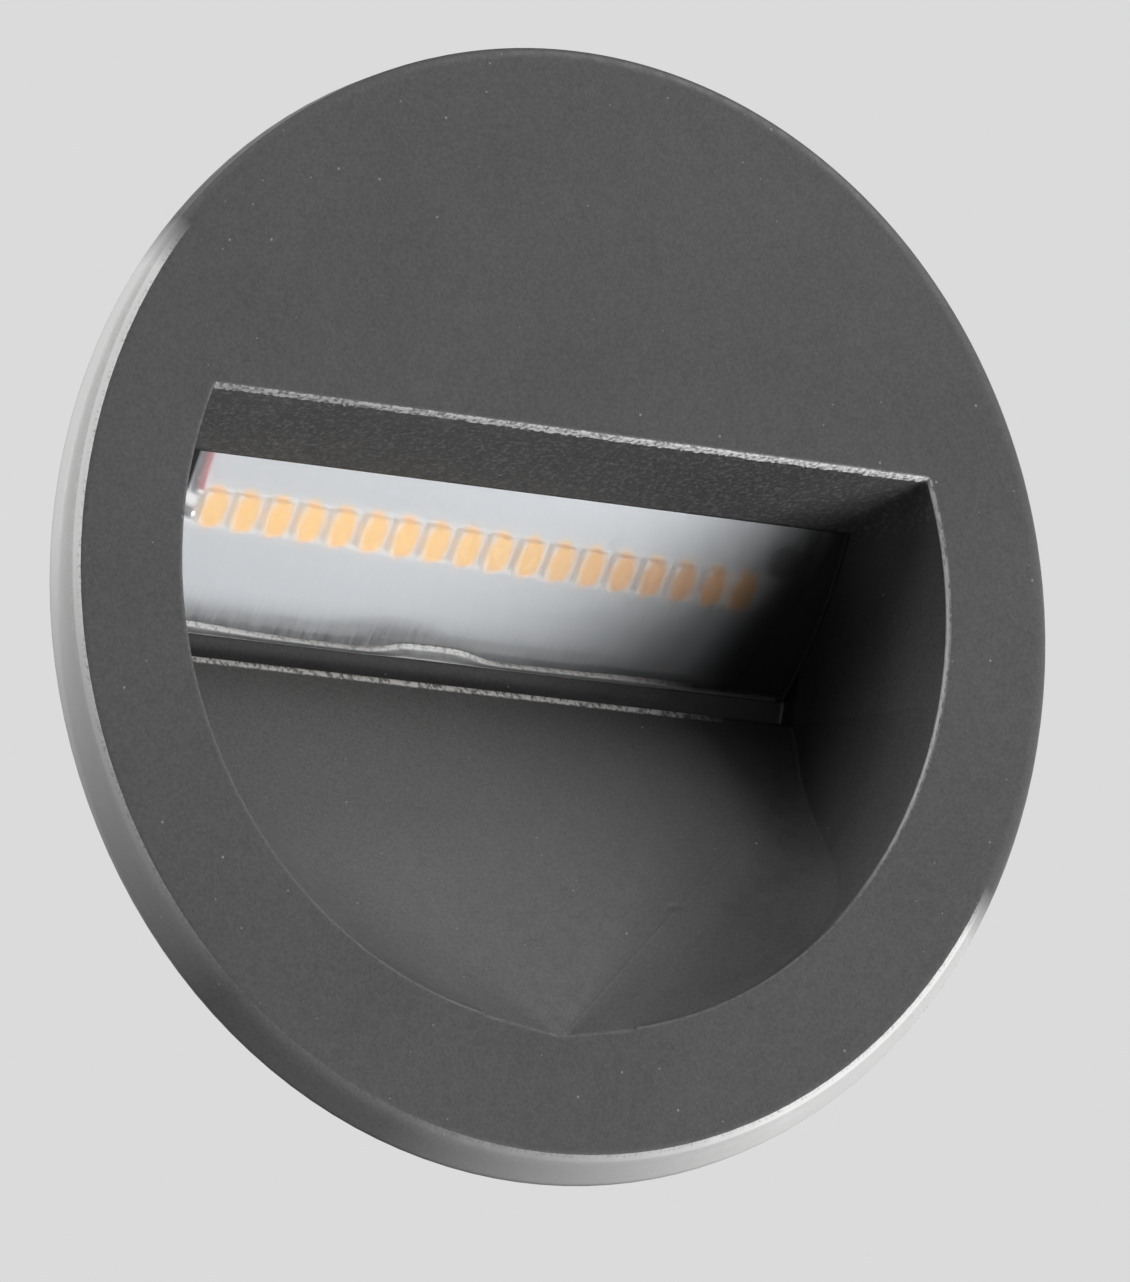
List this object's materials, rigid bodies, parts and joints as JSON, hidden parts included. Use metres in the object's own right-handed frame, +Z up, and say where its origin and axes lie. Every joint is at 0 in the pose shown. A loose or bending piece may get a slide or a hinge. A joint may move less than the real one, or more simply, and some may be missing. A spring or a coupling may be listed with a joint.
{
  "type": "recessed wall light",
  "caption": "Round in-wall step light: a flat trim disc with a D-shaped light pocket, a tilted LED window and a sealed rear body held by spring clips.",
  "frame": {"origin": "centre of the trim's wall side, on the plane of the finished wall", "axes": "+Y into the wall, +Z up, +X to the right as seen from the room"},
  "size_m": [0.12, 0.0642, 0.12],
  "materials": {
    "powder_coat": "fine textured anthracite powder coat",
    "foam": "closed-cell foam",
    "rubber": "moulded rubber",
    "satin_glass": "satin",
    "silicone": "translucent silicone bead",
    "white_plastic": "matt",
    "white_mask": "white solder mask",
    "phosphor": "silicone with phosphor",
    "solder": "bright",
    "red_wire": "silicone insulation",
    "black_wire": "silicone insulation",
    "thermal_pad": "matt",
    "aluminium": "milled",
    "zinc_steel": "zinc plated",
    "black_screw": "blackened",
    "black_nylon": "moulded nylon",
    "housing_plastic": "fine moulded texture",
    "green_board": "solder mask",
    "capacitor": "heat-shrink sleeve",
    "yellow_film": "moulded",
    "ferrite": "ferrite and tape",
    "black_epoxy": "moulded epoxy",
    "resistor": "lacquer",
    "copper": "enamelled wire",
    "ivory_plastic": "moulded",
    "brass": "turned",
    "green_screw": "lacquered",
    "spring_steel": "bright spring steel",
    "vinyl": "soft vinyl"
  },
  "bodies": {
    "light_body": {"face_casting": "powder_coat", "wall_gasket": "foam", "window_gasket": "rubber", "window_glass": "satin_glass", "window_sealant": "silicone", "led_frame": "white_plastic", "led_board": "white_mask", "led_packages": "white_plastic", "led_phosphors": "phosphor", "board_solder_joints": "solder", "board_screws": "black_screw", "lead_red": "red_wire", "lead_black": "black_wire", "thermal_pad": "thermal_pad", "heat_spreader": "aluminium", "spreader_screws": "zinc_steel", "housing_gasket": "rubber", "rear_housing": "housing_plastic", "housing_screws": "zinc_steel", "driver_board": "green_board", "driver_screws": "zinc_steel", "filter_capacitor": "capacitor", "film_capacitor": "yellow_film", "transformer": "ferrite", "bridge_rectifier": "black_epoxy", "fuse_resistor": "resistor", "choke_coil": "copper", "terminal_block": "ivory_plastic", "terminal_screws": "brass", "terminal_fixing_screw": "zinc_steel", "earth_tag": "zinc_steel", "earth_screw": "green_screw", "gland_body": "black_nylon", "gland_washer": "rubber", "gland_locknut": "black_nylon", "gland_seal": "rubber", "gland_nut": "black_nylon", "vent_plug": "black_nylon", "clip_bracket_top": "zinc_steel", "clip_bracket_bottom": "zinc_steel", "bracket_screws": "zinc_steel", "clip_pin_top": "zinc_steel", "clip_pin_bottom": "zinc_steel", "clip_spring_top": "spring_steel", "clip_spring_bottom": "spring_steel"},
    "arm_top": {"spring_arm_top": "zinc_steel", "spring_leg_top": "spring_steel", "arm_sleeve_top": "vinyl"},
    "arm_bottom": {"spring_arm_bottom": "zinc_steel", "spring_leg_bottom": "spring_steel", "arm_sleeve_bottom": "vinyl"}
  },
  "joints": [
    {"name": "top_clip_fold", "type": "hinge", "parent": "light_body", "child": "arm_top", "pos_m": [0, 0.01, 0.046], "axis": [-1, 0, 0], "range_deg": [0, 118], "stiffness_Nm_per_rad": 0.06, "springref_deg": -34.38},
    {"name": "bottom_clip_fold", "type": "hinge", "parent": "light_body", "child": "arm_bottom", "pos_m": [0, 0.01, -0.046], "axis": [1, 0, 0], "range_deg": [0, 118], "stiffness_Nm_per_rad": 0.06, "springref_deg": -34.38}
  ]
}
